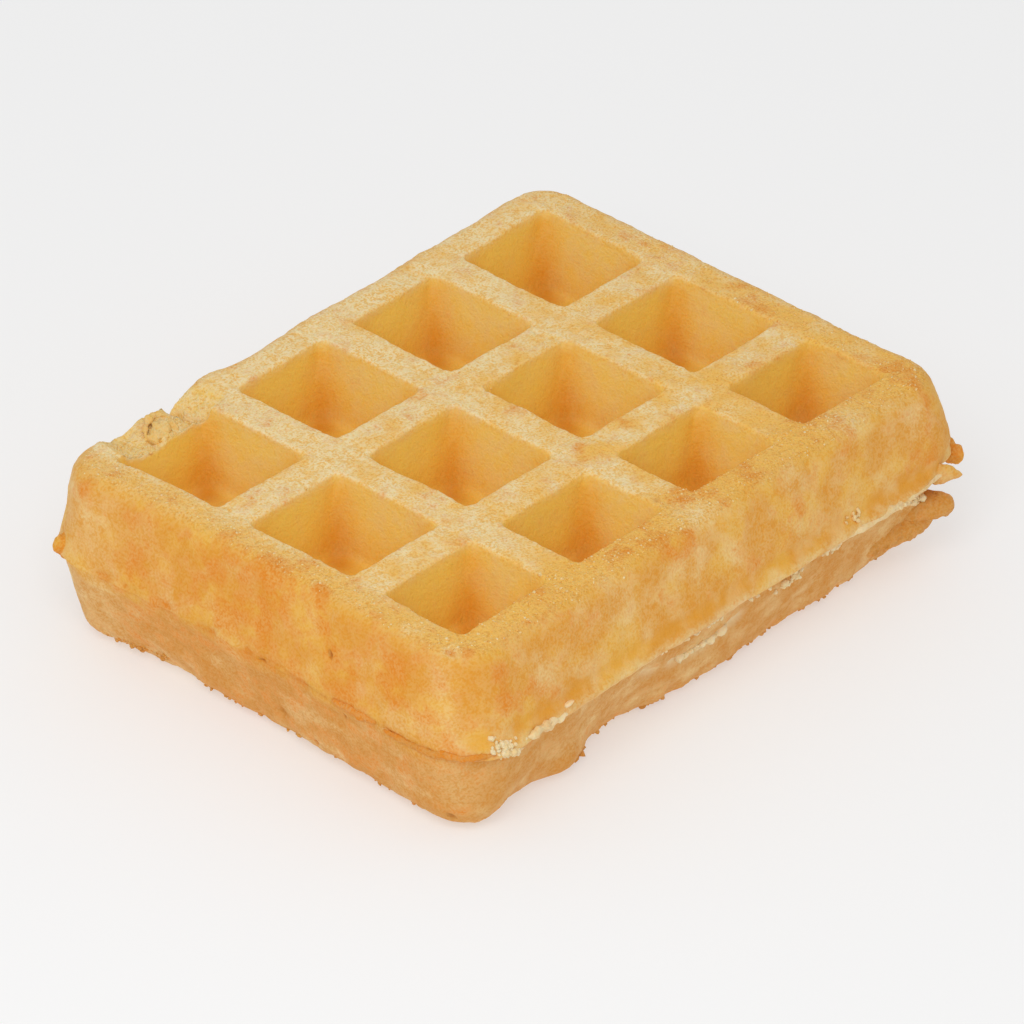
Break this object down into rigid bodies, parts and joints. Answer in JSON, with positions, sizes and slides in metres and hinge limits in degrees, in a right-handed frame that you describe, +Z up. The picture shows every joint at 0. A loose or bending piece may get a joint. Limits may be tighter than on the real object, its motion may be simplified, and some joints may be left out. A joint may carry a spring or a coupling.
{
  "type": "belgian waffle",
  "caption": "Thick rectangular golden waffle with deep square pockets in both faces, rounded ribs, a seam round its middle and a crumbled rim.",
  "frame": {"origin": "middle of the footprint, on the surface that the waffle lies on", "axes": "+X along the length, across the four columns of pockets; +Y along the width, from the narrower front row of pockets to the back row; +Z up, out of the top face"},
  "size_m": [0.1177, 0.0885, 0.0306],
  "materials": {
    "crust": "baked batter crust, satin, pale cream on the ribs, golden in the pockets and toasted orange in patches"
  },
  "bodies": {
    "root": {"waffle": "crust"}
  },
  "joints": []
}
